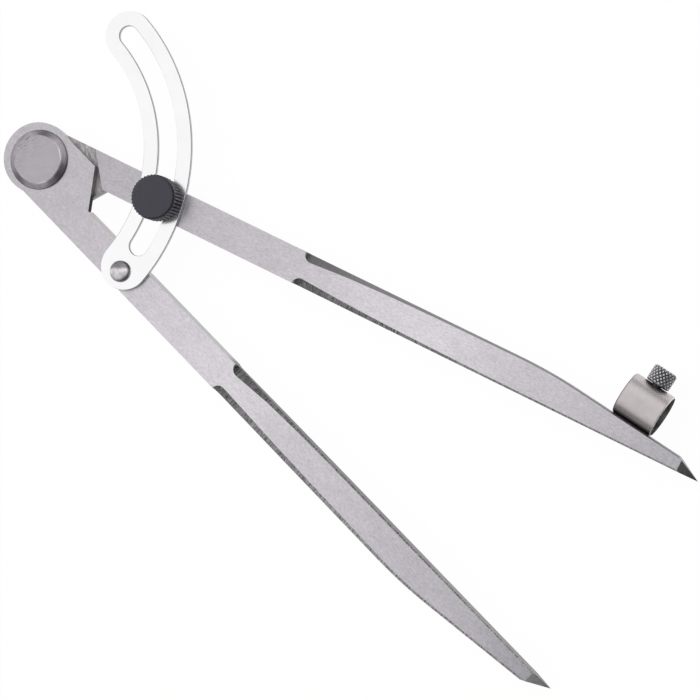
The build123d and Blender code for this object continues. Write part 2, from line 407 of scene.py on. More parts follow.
def blackFinish(name, look):
    # Blackened steel: a nearly black coat with speckles in tone, gloss and height, and painted shade
    # that is darkest in grooves
    material, tree, shader = newMaterial(name)
    shader.inputs["Metallic"].default_value = 0
    shader.inputs["Specular IOR Level"].default_value = look["specular"]
    speck = grain(tree, look["speckleSize"], 0, fineDetail, fineRoughness)
    base = look["color"]
    share = look["speckle"]
    tone = ramp(tree, speck, noiseSpan, tint(base, 1 - share), tint(base, 1 + share))
    tree.links.new(paintGrooveShade(tree, tone, look["paintedShadeTone"]), shader.inputs["Base Color"])
    low, high = look["roughness"]
    tree.links.new(ramp(tree, speck, noiseSpan, grey(low), grey(high)), shader.inputs["Roughness"])
    addBump(tree, shader, speck, look["bump"])
    return material


# Camera at the photograph's viewing angle

cameraLook = {
    "lens": 154.3,           # mm
    "sensor": 36,            # mm
    "clip": (0.01, 20),      # metres, the nearest and the farthest that it sees
    "place": (0.27829, 0.08158, 0.78265),
    "right": (0.788923, 0.568575, -0.233073),
    "up": (-0.573600, 0.817447, 0.052578),
    "back": (0.220419, 0.092210, 0.971037),
}


def makeCamera():
    # The right, up and back directions are the columns of the camera's turn
    lens = bpy.data.cameras.new("camera")
    lens.lens = cameraLook["lens"]
    lens.sensor_width = cameraLook["sensor"]
    lens.clip_start, lens.clip_end = cameraLook["clip"]
    camera = bpy.data.objects.new("camera", lens)
    axes = Matrix([cameraLook["right"], cameraLook["up"], cameraLook["back"]]).transposed()
    camera.matrix_world = Matrix.Translation(cameraLook["place"]) @ axes.to_4x4()
    scene.collection.objects.link(camera)
    scene.camera = camera


makeCamera()
print("camera placed")


# Light: a broad soft sky that leans to -X and leaves the +X side dark, and a white floor

studioLook = {
    "boxCentre": (-0.60, -0.05, 0.80),   # direction to the middle of the sky
    "boxInner": 0.60,                    # cosine where the sky is at full strength
    "boxOuter": 0.00,                    # cosine where it has faded into the dark side
    "boxStrength": 1.24,
    "wallStrength": 0.10,                # the dark side
    "fillStrength": 0.9,
    "fillAngle": 50,                     # degrees, so its shadows are soft
    "floorSize": 6.0,
    "floorDrop": 0.00002,                # gap under the compass
    "floorGlow": 0.97,                   # share of plain white, the rest is shaded
    "floorGrain": (0.02, 0.02, 0.02),
    "floorTones": (0.93, 0.95),
}


def makeWorld():
    # Strength is the wall's plus a smooth step, of the cosine to the sky's middle, up to the box's.
    # The camera itself sees plain white.
    world = bpy.data.worlds.new("studio")
    scene.world = world
    world.use_nodes = True
    tree = world.node_tree
    tree.nodes.clear()
    where = tree.nodes.new("ShaderNodeTexCoord")
    aim = tree.nodes.new("ShaderNodeVectorMath")
    aim.operation = "DOT_PRODUCT"
    aim.inputs[1].default_value = Vector(studioLook["boxCentre"]).normalized()
    tree.links.new(where.outputs["Generated"], aim.inputs[0])
    edge = tree.nodes.new("ShaderNodeMapRange")
    edge.interpolation_type = "SMOOTHSTEP"
    edge.inputs["From Min"].default_value = studioLook["boxOuter"]
    edge.inputs["From Max"].default_value = studioLook["boxInner"]
    edge.inputs["To Min"].default_value = studioLook["wallStrength"]
    edge.inputs["To Max"].default_value = studioLook["boxStrength"]
    tree.links.new(aim.outputs["Value"], edge.inputs["Value"])
    path = tree.nodes.new("ShaderNodeLightPath")
    seen = tree.nodes.new("ShaderNodeMix")
    seen.inputs[3].default_value = 1     # value B, for the camera
    tree.links.new(path.outputs["Is Camera Ray"], seen.inputs["Factor"])
    tree.links.new(edge.outputs["Result"], seen.inputs[2])       # value A, for all else
    light = tree.nodes.new("ShaderNodeBackground")
    out = tree.nodes.new("ShaderNodeOutputWorld")
    tree.links.new(seen.outputs[0], light.inputs["Strength"])
    tree.links.new(light.outputs["Background"], out.inputs["Surface"])


def makeFill():
    # A wide soft sun from the sky's middle, which shiny surfaces don't mirror
    sun = bpy.data.lights.new("fill", "SUN")
    sun.energy = studioLook["fillStrength"]
    sun.angle = radians(studioLook["fillAngle"])
    lamp = bpy.data.objects.new("fill", sun)
    aim = Vector(studioLook["boxCentre"])
    lamp.rotation_mode = "QUATERNION"
    lamp.rotation_quaternion = aim.to_track_quat("Z", "Y")
    lamp.visible_glossy = False
    scene.collection.objects.link(lamp)


def makeFloor():
    # Shaded paper, mixed with plain white where the camera, a mirror or a clear piece looks at it
    material, tree, shader = newMaterial("paperFloor")
    first, last = studioLook["floorTones"]
    tone = ramp(tree, grain(tree, studioLook["floorGrain"]), noiseSpan, grey(first), grey(last))
    tree.links.new(tone, shader.inputs["Base Color"])
    shader.inputs["Roughness"].default_value = 1
    shader.inputs["Specular IOR Level"].default_value = 0
    glow = tree.nodes.new("ShaderNodeEmission")
    path = tree.nodes.new("ShaderNodeLightPath")
    rays = [path.outputs[ray] for ray in ("Is Camera Ray", "Is Glossy Ray", "Is Transmission Ray")]
    total = rays[0]
    for ray in rays[1:]:
        add = tree.nodes.new("ShaderNodeMath")
        add.use_clamp = True
        tree.links.new(total, add.inputs[0])
        tree.links.new(ray, add.inputs[1])
        total = add.outputs[0]
    share = tree.nodes.new("ShaderNodeMath")
    share.operation = "MULTIPLY"
    share.inputs[1].default_value = studioLook["floorGlow"]
    tree.links.new(total, share.inputs[0])
    mix = tree.nodes.new("ShaderNodeMixShader")
    tree.links.new(share.outputs[0], mix.inputs["Fac"])
    tree.links.new(shader.outputs["BSDF"], mix.inputs[1])
    tree.links.new(glow.outputs["Emission"], mix.inputs[2])
    tree.links.new(mix.outputs["Shader"], tree.nodes["Material Output"].inputs["Surface"])
    half = studioLook["floorSize"] / 2
    level = cadLow.z - studioLook["floorDrop"]
    corners = [(-half, -half, level), (half, -half, level), (half, half, level), (-half, half, level)]
    floor = putMesh("floor", corners, [(0, 1, 2, 3)], material)


makeWorld()
makeFill()
makeFloor()
print("studio lit")


# Finishes

legFace = {
    "color": (0.93, 0.89, 0.95),
    "cloudSize": (0.006, 0.0025, 0.003),
    "cloudTone": 0.04,
    "grainSize": (0.0010, 0.00035, 0.0005),
    "grainTone": 0.32,
    "roughness": (0.28, 0.38),
    "bump": 0.000003,
}
bevelSmooth = {
    "color": (0.93, 0.90, 0.93),
    "cloudSize": (0.008, 0.002, 0.002),
    "cloudTone": 0.06,
    "grainSize": (0.0005, 0.003, 0.003),
    "grainTone": 0.12,
    "roughness": (0.34, 0.45),
    "bump": 0.000004,
}
bevelMilled = {
    "color": (0.93, 0.90, 0.93),
    "cloudSize": (0.004, 0.004, 0.004),
    "cloudTone": 0.14,
    "grainSize": (0.0003, 0.0018, 0.0018),
    "grainTone": 1.8,
    "roughness": (0.34, 0.5),
    "bump": 0.00001,
}
lapCut = {
    "color": (0.49, 0.475, 0.48),
    "cloudSize": (0.0016, 0.0008, 0.001),
    "cloudTone": 0.2,
    "grainSize": (0.0018, 0.00020, 0.0003),
    "grainTone": 1.2,
    "roughness": (0.35, 0.5),
    "bump": 0.00002,
}
tipGround = {
    "color": (0.98, 0.95, 0.97),
    "cloudSize": (0.002, 0.002, 0.002),
    "cloudTone": 0.12,
    "grainSize": (0.00025, 0.0015, 0.001),
    "grainTone": 0.35,
    "roughness": (0.3, 0.45),
    "bump": 0.000008,
}
wallDrawn = {
    "color": (0.98, 0.95, 0.99),
    "cloudSize": (0.02, 0.003, 0.003),
    "cloudTone": 0.05,
    "grainSize": (0.002, 0.0003, 0.0003),
    "grainTone": 0.2,
    "roughness": (0.3, 0.45),
    "bump": 0.000006,
}
stopSawn = {
    "color": (0.93, 0.90, 0.93),
    "edgeTint": (0.3, 0.3, 0.3, 1),
    "cloudSize": (0.002, 0.002, 0.002),
    "cloudTone": 0.2,
    "grainSize": (0.0003, 0.0003, 0.0003),
    "grainTone": 0.4,
    "roughness": (0.5, 0.65),
    "bump": 0.00001,
}
coneTurned = {
    "color": (0.43, 0.405, 0.435),
    "paintedShadeTone": 0.5,
    "cloudSize": (0.003, 0.003, 0.003),
    "cloudTone": 0.12,
    "grainSize": (0.0012, 0.0012, 0.0003),
    "grainTone": 0.3,
    "roughness": (0.48, 0.6),
    "bump": 0.000002,
}
# Forged dome: its strong clouds of tone are partly its own mottling and partly painted reflection
domeForgedAndSheen = {
    "color": (0.60, 0.58, 0.60),
    "cloudSize": (0.0022, 0.0022, 0.0022),
    "cloudTone": 0.3,
    "grainSize": (0.0008, 0.0008, 0.0008),
    "grainTone": 0.3,
    "roughness": (0.24, 0.34),
    "bump": 0.00001,
}
discTurned = {
    "color": (0.43, 0.405, 0.435),
    "cloudSize": (0.004, 0.003, 0.004),
    "cloudTone": 0.04,
    "grainSize": (0.0008, 0.0005, 0.0008),
    "grainTone": 0.08,
    "roughness": (0.2, 0.28),
    "bump": 0.000002,
}
arcPolished = {
    "color": (0.94, 0.94, 0.95),
    "cloudSize": (0.02, 0.02, 0.02),
    "cloudTone": 0.02,
    "grainSize": (0.003, 0.003, 0.003),
    "grainTone": 0.02,
    "roughness": (0.12, 0.2),
    "bump": 0.000001,
}
# Upright walls of the arc: darker than its faces as painted shade
arcWallShade = {
    "color": (0.50, 0.50, 0.51),
    "cloudSize": (0.004, 0.004, 0.004),
    "cloudTone": 0.1,
    "grainSize": (0.0004, 0.0004, 0.0004),
    "grainTone": 0.2,
    "roughness": (0.35, 0.5),
    "bump": 0.000004,
}
tubeTurned = {
    "color": (0.56, 0.52, 0.52),
    "cloudSize": (0.006, 0.004, 0.004),
    "cloudTone": 0.05,
    "grainSize": (0.0005, 0.002, 0.002),
    "grainTone": 0.08,
    "roughness": (0.34, 0.44),
    "bump": 0.000002,
}
# The bore, darkened by painted shade; its rear broken edge takes the same
tubeBoreShade = {
    "color": (0.26, 0.24, 0.25),
    "cloudSize": (0.003, 0.003, 0.003),
    "cloudTone": 0.15,
    "grainSize": (0.002, 0.0005, 0.0005),
    "grainTone": 0.3,
    "roughness": (0.35, 0.5),
    "bump": 0.00001,
}
# The saw-cut ends, near black with painted shade
tubeEndShade = {
    "color": (0.11, 0.10, 0.105),
    "edgeTint": (0.25, 0.24, 0.24, 1),
    "cloudSize": (0.003, 0.003, 0.003),
    "cloudTone": 0.15,
    "grainSize": (0.0005, 0.0005, 0.0005),
    "grainTone": 0.2,
    "roughness": (0.4, 0.5),
    "bump": 0.000005,
}
# The front broken edge, lightened as a painted highlight
tubeEdgeHighlight = {
    "color": (0.80, 0.77, 0.77),
    "cloudSize": (0.003, 0.003, 0.003),
    "cloudTone": 0.06,
    "grainSize": (0.0005, 0.0005, 0.0005),
    "grainTone": 0.1,
    "roughness": (0.4, 0.5),
    "bump": 0.000003,
}
screwTurned = {
    "color": (0.58, 0.57, 0.59),
    "paintedShadeTone": 0.12,
    "cloudSize": (0.002, 0.002, 0.002),
    "cloudTone": 0.1,
    "grainSize": (0.0003, 0.0003, 0.0003),
    "grainTone": 0.15,
    "roughness": (0.2, 0.32),
    "bump": 0.000003,
}
knobTop = {
    "color": (0.040, 0.036, 0.050),
    "speckle": 0.12,
    "speckleSize": (0.0006, 0.0006, 0.0006),
    "specular": 0.35,
    "paintedShadeTone": 0.3,
    "roughness": (0.30, 0.42),
    "bump": 0.00001,
}
# The knob's side: a lighter copy of the top's black, whose strong speckles stand in for painted
# glints on the teeth, with painted shade in the grooves
knobSideGlints = {
    "color": (0.14, 0.135, 0.155),
    "speckle": 1.6,
    "speckleSize": (0.0014, 0.0014, 0.004),
    "specular": 0.06,
    "paintedShadeTone": 0.05,
    "roughness": (0.35, 0.5),
    "bump": 0.00001,
}

arcSteel = steel("arcSteel", arcPolished)
arcWallSteel = steel("arcWallSteel", arcWallShade)
screwSteel = steel("screwSteel", screwTurned)
knobTopBlack = blackFinish("knobTopBlack", knobTop)
knobSideBlackGlints = blackFinish("knobSideBlackGlints", knobSideGlints)
print("finishes mixed")


# Legs

legLook = {
    "rounding": 0.05 * mm,
    "faceHeight": 6.9 * mm,       # front face
    "backHeight": 1.9 * mm,
    "stopStart": 8 * mm,          # the slanted stop edges lie between these two
    "stopEnd": 24 * mm,
    "shoulderTurn": 53.5,         # degrees from the leg's line to its slanted shoulder
    "shoulderPlace": 20.4 * mm,   # where the shoulder meets the inner edge
    "shoulderPaintedShade": [            # (place off the shoulder, tone of the half-lap): painted shade that darkens the half-lap along the shoulder's crease
        (-9 * mm, 1.0), (-2.6 * mm, 0.85), (-0.9 * mm, 0.7), (0, 0.45),
    ],
    "lapDepth": 1 * mm,           # the half-lap lies deeper than this under both faces
    "middle": 4.7 * mm,           # line between the outer and the inner bevels
    "tipStart": 194.2 * mm,       # the ground facets of the point start here
    "upright": 0.1,               # the normal's part along Z is smaller than this on a wall,
    "sloped": 0.985,              # smaller than this on a bevel,
    "level": 0.99,                # and larger than this on a face
    "stopFacing": 0.4,            # and its part along the leg is larger than this on a stop edge
    # Painted shade of the bevels, darkest near their start and lighter towards the points
    "bevelPaintedShade": [(79.6 * mm, 0.21), (100 * mm, 0.30), (130 * mm, 0.38), (170 * mm, 0.40)],
}
# Each (place, tone) is painted light and shade and lies so far from the pivot along the leg, or
# across the leg on the stop edges. The faces are lighter midway and darker towards the points. The
# walls, bevels and point facets are darkened as painted reflection of dark surroundings, and the stop
# edges by the slit's painted shadow. The outer bevel names its finish here and takes the bevel shade
# of legLook.
frontPaintedLight = {
    "face": [(0, 0.56), (84 * mm, 0.73), (110 * mm, 0.64), (160 * mm, 0.55), (200 * mm, 0.42)],
    "wall": [(76 * mm, 0.5), (80 * mm, 0.11), (130 * mm, 0.14), (165 * mm, 0.22)],
    "innerBevel": [(79.6 * mm, 0.21), (130 * mm, 0.38), (160 * mm, 0.42), (180 * mm, 0.5)],
    "tip": [(190 * mm, 0.25), (200 * mm, 0.24)],
    "stop": [(-9.8 * mm, 0.8), (-6 * mm, 0.75), (-4.2 * mm, 0.45), (-3 * mm, 0.1), (0.2 * mm, 0.1)],
    "outerBevel": bevelMilled,
}
rearPaintedLight = {
    "face": [(0, 0.49), (60 * mm, 0.59), (118 * mm, 0.74), (150 * mm, 0.62), (200 * mm, 0.49)],
    "wall": [(76 * mm, 0.5), (80 * mm, 0.11), (130 * mm, 0.14), (165 * mm, 0.35)],
    "innerBevel": legLook["bevelPaintedShade"],
    "tip": [(190 * mm, 0.09), (200 * mm, 0.08)],
    "stop": [(-9.8 * mm, 0.6), (0.2 * mm, 0.6)],
    "outerBevel": bevelSmooth,
}


def heading(turn):
    # Direction at so many degrees from +X: (cos, sin, 0)
    return (np.cos(radians(turn)), np.sin(radians(turn)), 0)


def makeLeg(node, name, body, side, tones):
    # Each face takes the finish of its region, told by its height, tilt and place along the leg, and
    # the tones multiply each finish with painted light and shade.
    # The side is 1 for the leg at +Y and -1 for the other.
    turn = side * legTurn
    axis = heading(turn)
    across = (-side * axis[1], side * axis[0], 0)
    origin = (0, 0, 0)
    shoulderTurn = turn - side * legLook["shoulderTurn"]
    offShoulder = heading(shoulderTurn + side * 90)
    shoulder = tuple(np.array(axis) * legLook["shoulderPlace"])
    onFace, onWall, onLap, onBevelIn, onTip, onStop, onBevelOut = range(7)
    finishes = [
        steel(name + "Face", legFace, turn, (axis, origin, tones["face"])),
        steel(name + "Wall", wallDrawn, turn, (axis, origin, tones["wall"])),
        steel(name + "Lap", lapCut, shoulderTurn, (offShoulder, shoulder, legLook["shoulderPaintedShade"])),
        steel(name + "BevelIn", bevelMilled, turn, (axis, origin, tones["innerBevel"])),
        steel(name + "Tip", tipGround, turn, (axis, origin, tones["tip"])),
        steel(name + "Stop", stopSawn, turn, (across, origin, tones["stop"])),
        steel(name + "BevelOut", tones["outerBevel"], turn, (axis, origin, legLook["bevelPaintedShade"])),
    ]
    leg = cadSkin(node, name, finishes, legLook["rounding"])
    normal = faceRows(leg.data, "normal")
    centre = faceRows(leg.data, "center")
    tilt = np.abs(normal[:, 2])
    facing = np.abs(normal @ np.array(axis))
    along = centre @ np.array(axis)
    height = centre[:, 2]
    lapLow = legLook["backHeight"] + legLook["lapDepth"]
    lapHigh = legLook["faceHeight"] - legLook["lapDepth"]
    inside = (height > lapLow) & (height < lapHigh)
    level = tilt > legLook["level"]
    sloped = (tilt > legLook["upright"]) & (tilt < legLook["sloped"])
    outward = centre @ np.array(across) > legLook["middle"]
    atStop = (along > legLook["stopStart"]) & (along < legLook["stopEnd"])
    stopEdge = (tilt < legLook["upright"]) & (facing > legLook["stopFacing"]) & atStop
    region = np.full(len(tilt), onWall)
    region[level] = onFace
    region[level & inside] = onLap
    region[sloped] = onBevelIn
    region[sloped & outward] = onBevelOut
    region[sloped & (along > legLook["tipStart"])] = onTip
    region[stopEdge] = onStop
    paintFaces(leg.data, region)
    settle(leg, body)


makeLeg("front_leg", "frontLeg", "front_side", -1, frontPaintedLight)
makeLeg("rear_leg", "rearLeg", "rear_side", 1, rearPaintedLight)
print("legs finished")


# Pivot discs and rivet

discLook = {
    "sides": 128,
    "rounding": 0.18 * mm,
    "faceRounding": 0.45 * mm,    # softer edge round the flat top
    "washerRounding": 0.108 * mm,
    "washerSteps": 3,             # steps in each of its roundings
    "topRadius": 6.8 * mm,
    "rim": 0.45 * mm,             # upright edge under the cone
    "footShare": 0.15,            # part of the cone, from its foot, that is darker with painted shadow
    "footEdge": 0.05 * mm,        # the painted shadow starts this far outside its corner
    "pinRadius": 3.5 * mm,
    "peenRadius": 4.3 * mm,
    "peenHeight": 0.8 * mm,
    "legFace": 6.9 * mm,          # height of the leg's face under the front disc
    "runGap": 0.05 * mm,          # gap between the rear disc and its leg
    "grainTurn": 35,              # degrees
    "conePaintedLight": [                # (degrees round the disc from +X, tone of the turned cone): painted reflection in dark and light sectors
        (-180, 1.0), (-140, 0.85), (-100, 0.42), (-70, 0.95), (-40, 1.65), (-20, 1.1), (-3, 0.52),
        (14, 0.85), (44, 2.0), (75, 1.45), (110, 0.43), (145, 0.95), (180, 1.0),
    ],
    "scratchTurn": 71,            # degrees
    "scratchSize": (0.0022, 0.00028, 0.0022),
    "scratchSpan": (0.5, 0.66),   # the noise turns into scratches between these
    "scratchTone": 0.55,
    "scratchAxis": (-0.984, 0.179, 0),
    "scratchTones": [(0, 0), (2.5 * mm, 0.3), (6.5 * mm, 1.0)],
}


def scratch(material):
    # Fine parallel scratches multiply the colour, stronger towards one side of the disc
    tree = material.node_tree
    fine = grain(tree, discLook["scratchSize"], discLook["scratchTurn"], cloudDetail)
    lines = ramp(tree, fine, discLook["scratchSpan"], grey(1), grey(1 - discLook["scratchTone"]))
    share = toneAlong(tree, distance(tree, discLook["scratchAxis"]), discLook["scratchTones"])
    multiplyBase(material, lines, share)


def shadeAround(material):
    # Painted reflection: a tone that follows the angle round the disc multiplies the colour, with
    # dark and light sectors as the cone would mirror its surroundings
    stops = [(radians(turn), tone) for turn, tone in discLook["conePaintedLight"]]
    multiplyBase(material, toneAlong(material.node_tree, bearing(material.node_tree), stops))


discSteel = steel("discSteel", discTurned, discLook["grainTurn"])
coneSteel = steel("coneSteel", coneTurned)
scratch(discSteel)
shadeAround(coneSteel)


def shadeCone(piece):
    # Faces outside the flat top take the cone's finish, with its painted reflection round the disc
    centre = faceRows(piece.data, "center")
    onCone = np.hypot(centre[:, 0], centre[:, 1]) > discLook["topRadius"] - discLook["rounding"]
    piece.data.materials.append(coneSteel)
    paintFaces(piece.data, onCone)


def makePivot():
    # The pin with the front disc: peened end, shank, rim, cone and flat top. A painted shadow darkens
    # the cone from its foot up to footShare of the way to the top. The washer is the rear disc.
    low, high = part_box("pivot_pin")
    outer = high.x
    foot = discLook["legFace"] + discLook["rim"]
    share = discLook["footShare"]
    footShadeRadius = outer - (outer - discLook["topRadius"]) * share
    corners = [
        (0, low.z),
        (discLook["peenRadius"], low.z),
        (discLook["pinRadius"], low.z + discLook["peenHeight"]),
        (discLook["pinRadius"], discLook["legFace"]),
        (outer, discLook["legFace"]),
        (outer, foot),
        (footShadeRadius, foot + (high.z - foot) * share),
        (discLook["topRadius"], high.z),
        (0, high.z),
    ]

    def footShade(radius, height, angle):
        onFoot = (radius > footShadeRadius + discLook["footEdge"]) * (height > discLook["legFace"])
        return radius, height, onFoot * 1.0

    edges = [discLook["rounding"]] * (len(corners) - 2) + [discLook["faceRounding"]] * 2
    profile = softProfile(corners, edges)
    pin = turnedPiece("pivotPin", profile, discLook["sides"], np.eye(4), discSteel, footShade)
    shadeCone(pin)
    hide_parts("pivot_pin")
    settle(pin, "front_side")

    low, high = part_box("pivot_washer")
    corners = [
        (discLook["peenRadius"], low.z),
        (discLook["topRadius"], low.z),
        (outer, high.z - discLook["rim"] + discLook["runGap"]),
        (outer, high.z),
        (discLook["pinRadius"], high.z),
        (discLook["pinRadius"], low.z + discLook["peenHeight"]),
    ]
    section = softProfile(corners, discLook["washerRounding"], discLook["washerSteps"], True)
    washer = hoopPiece("pivotWasher", section, discLook["sides"], discSteel)
    shadeCone(washer)
    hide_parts("pivot_washer")
    settle(washer, "front_side")


rivetLook = {
    "sides": 96,
    "domeSteps": 14,
    "rounding": 0.08 * mm,
    "shankRadius": 1.6 * mm,
    "footRadius": 2.4 * mm,
    "footHeight": 0.8 * mm,
    "domeHeight": 1.5 * mm,
    "rim": 0.22 * mm,             # upright edge under the dome
    "axis": (-0.574, 0.817, 0),   # the tones run along this: a painted reflection, dark at both ends and bright near the middle
    "tones": [
        (-2.95 * mm, 0.45), (-1.6 * mm, 0.8), (0.2 * mm, 1.2), (1.3 * mm, 0.4), (2.95 * mm, 0.3),
    ],
}


def makeRivet():
    # Shank with a flared foot, and a dome of radius reach * cos and height rise * sin of an angle
    # from 0 to a quarter turn
    low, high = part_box("arc_rivet")
    centre = (low + high) / 2
    reach = (high.x - low.x) / 2
    seat = high.z - rivetLook["domeHeight"]
    rise = rivetLook["domeHeight"] - rivetLook["rim"]
    step = np.linspace(0, np.pi / 2, rivetLook["domeSteps"])[:, None]
    domeHeight = seat + rivetLook["rim"] + rise * np.sin(step)
    dome = np.concatenate([reach * np.cos(step), domeHeight], axis=1)
    dome[-1, 0] = 0
    shank = softProfile(
        [
            (0, low.z),
            (rivetLook["footRadius"], low.z),
            (rivetLook["shankRadius"], low.z + rivetLook["footHeight"]),
            (rivetLook["shankRadius"], seat),
            (reach, seat),
        ],
        rivetLook["rounding"],
    )
    profile = np.concatenate([shank, dome])
    place = axisFrame((centre.x, centre.y, 0), (0, 0, 1))
    # Painted reflection on the dome, dark at both ends of the axis and bright near the middle
    shade = (rivetLook["axis"], tuple(centre), rivetLook["tones"])
    rivetSteel = steel("rivetSteel", domeForgedAndSheen, 0, shade)
    rivet = turnedPiece("arcRivet", profile, rivetLook["sides"], place, rivetSteel)
    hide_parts("arc_rivet")
    settle(rivet, "front_side")


makePivot()
makeRivet()
print("pivot and rivet turned")


# Locking arc

arcLook = {
    "rounding": 0.05 * mm,
    "upright": 0.3,               # the normal's part along Z is smaller than this on a wall
}


def makeArc():
    # The plate's faces and broken edges are polished, its upright walls, as sheared, are darker with
    # painted shade
    arc = cadSkin("locking_arc", "lockingArc", [arcSteel, arcWallSteel], arcLook["rounding"])
    paintFaces(arc.data, np.abs(faceRows(arc.data, "normal")[:, 2]) < arcLook["upright"])
    settle(arc, "arc")


makeArc()
print("arc polished")


# Lock knob and stud

knobLook = {
    "teeth": 40,
    "samples": 12,                # points around each tooth
    "toothDepth": 0.42 * mm,
    "topDepth": 0.65,             # share of that depth left at the top edge
    "topFade": 1.6 * mm,          # the grooves start to get shallower this far below that edge
    "wavePower": 1.4,             # above 1 the grooves are wider than the teeth
    "chamfer": 0.55 * mm,
    "sideShare": 0.9,             # the side starts this share of the chamfer inside its edge
    "edgeShare": 1.1,             # and its painted shade reaches this share of it down
    "lip": 0.25 * mm,
    "chamferPaintedShade": 0.35,             # how dark the chamfer's painted shade is, as a share of a groove's
    "upright": 0.5,               # the normal's part along Z is smaller than this on the side
    "sharpTurn": 50,
    "rounding": 0.12 * mm,
    "boreRadius": 1.35 * mm,
    "boreDepth": 4.55 * mm,
}


def makeKnob():
    # The radius is the profile's, held under a scalloped limit: outer - cut * (1 - wave), where the
    # wave is |sin(teeth * angle / 2)| to a power and the cut fades towards the top
    low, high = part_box("lock_knob")
    centre = (low + high) / 2
    outer = (high.y - low.y) / 2
    side = high.z - knobLook["chamfer"]
    corners = [
        (0, low.z + knobLook["boreDepth"]),
        (knobLook["boreRadius"], low.z + knobLook["boreDepth"]),
        (knobLook["boreRadius"], low.z),
        (outer - knobLook["lip"], low.z),
        (outer, low.z + knobLook["lip"]),
        (outer, side - knobLook["topFade"]),
        (outer, side - knobLook["topFade"] * knobLook["topDepth"]),
        (outer, side),
        (outer - knobLook["chamfer"], high.z),
        (0, high.z),
    ]

    def scallop(radius, height, angle):
        wave = np.abs(np.sin(angle * knobLook["teeth"] / 2)) ** knobLook["wavePower"]
        fade = np.clip((side - height) / knobLook["topFade"], knobLook["topDepth"], 1)
        cut = knobLook["toothDepth"] * fade
        onSide = radius > outer - knobLook["chamfer"] * knobLook["sideShare"]
        nearTop = height > high.z - knobLook["chamfer"] * knobLook["edgeShare"]
        # Painted shade: dark in the grooves between the teeth and round the chamfer at the top edge
        groove = np.maximum(1 - wave, nearTop * knobLook["chamferPaintedShade"]) * onSide
        return np.minimum(radius, outer - cut * (1 - wave)), height, groove

    profile = softProfile(corners, knobLook["rounding"])
    sides = knobLook["teeth"] * knobLook["samples"]
    place = axisFrame((centre.x, centre.y, 0), (0, 0, 1))
    sharpTurn = knobLook["sharpTurn"]
    knob = turnedPiece("lockKnob", profile, sides, place, knobTopBlack, scallop, sharpTurn)
    knob.data.materials.append(knobSideBlackGlints)
    paintFaces(knob.data, np.abs(faceRows(knob.data, "normal")[:, 2]) < knobLook["upright"])
    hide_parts("lock_knob")
    settle(knob, "knob")


threadLook = {
    "sides": 48,
    "rowsPerTurn": 8,
    "depthShare": 0.55,           # thread depth as a share of the pitch
    "fadeShare": 0.8,             # the thread fades in and out over this share of the pitch
    "sameRadius": 1e-9,           # rows this near the outer radius carry the thread
}


def threadRows(start, end, pitch):
    # Evenly spaced heights from the start to the end, with rowsPerTurn of them in each pitch
    rows = int((end - start) / pitch * threadLook["rowsPerTurn"]) + 1
    return np.linspace(start, end, rows)


def threadShape(outer, pitch, start, end):
    # A groove that climbs one pitch each turn and fades out at both ends: its share of the depth is
    # |phase - 1/2| * 2, with the phase height / pitch - angle / full turn, less its whole part
    def shaping(radius, height, angle):
        phase = (height / pitch - angle / (2 * np.pi)) % 1
        cut = np.abs(phase - 0.5) * 2
        toEnd = np.minimum(height - start, end - height)
        fade = np.clip(toEnd / (pitch * threadLook["fadeShare"]), 0, 1)
        onThread = np.isclose(radius, outer, atol=threadLook["sameRadius"]) * fade
        depth = threadLook["depthShare"] * pitch
        # The share of the depth also gives the painted shade in the thread's root
        return radius - onThread * depth * cut, height, onThread * cut

    return shaping


studLook = {
    "radius": 2.0 * mm,
    "pitch": 0.7 * mm,
    "threadTop": 5.4 * mm,
    "neckRadius": 1.3 * mm,
    "endChamfer": 0.4 * mm,
}


def makeStud():
    # Threaded rod with a chamfered lower end, and a thinner neck above the thread
    low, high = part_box("lock_stud")
    centre = (low + high) / 2
    outer = studLook["radius"]
    rows = threadRows(low.z + studLook["endChamfer"], studLook["threadTop"], studLook["pitch"])
    profile = np.concatenate(
        [
            [(0, low.z), (outer - studLook["endChamfer"], low.z)],
            np.stack([np.full(len(rows), outer), rows], axis=1),
            [
                (studLook["neckRadius"], studLook["threadTop"]),
                (studLook["neckRadius"], high.z),
                (0, high.z),
            ],
        ]
    )
    shaping = threadShape(outer, studLook["pitch"], rows[0], rows[-1])
    place = axisFrame((centre.x, centre.y, 0), (0, 0, 1))
    stud = turnedPiece("lockStud", profile, threadLook["sides"], place, screwSteel, shaping)
    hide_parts("lock_stud")
    settle(stud, "stud")


makeKnob()
makeStud()
print("knob and stud cut")


# Pencil ring and screw

ringTurn = legTurn - taperTurn
screwAxis = Vector((-np.sin(radians(ringTurn)), np.cos(radians(ringTurn)), 0))

ringLook = {
    "rounding": 0.05 * mm,
    "radius": 6.0 * mm,
    "boreEdge": 4.4 * mm,         # faces nearer to the tube's axis belong to the bore
    "edgeFacing": 0.5,            # the normal's part along the tube is larger than this on an end's
    "endFacing": 0.9,             # broken edge, and larger than this on the end itself
    "paintedShadeAndHighlight": [                # (place along the screw's axis, from the tube's middle, tone): painted shade where the tube meets the leg, painted highlight on the screw's side
        (-6.2 * mm, 0.03), (-5.5 * mm, 0.08), (-4.4 * mm, 0.6), (-3.0 * mm, 1.0), (0, 1.0),
        (3.4 * mm, 1.25), (6 * mm, 1.1),
    ],
}


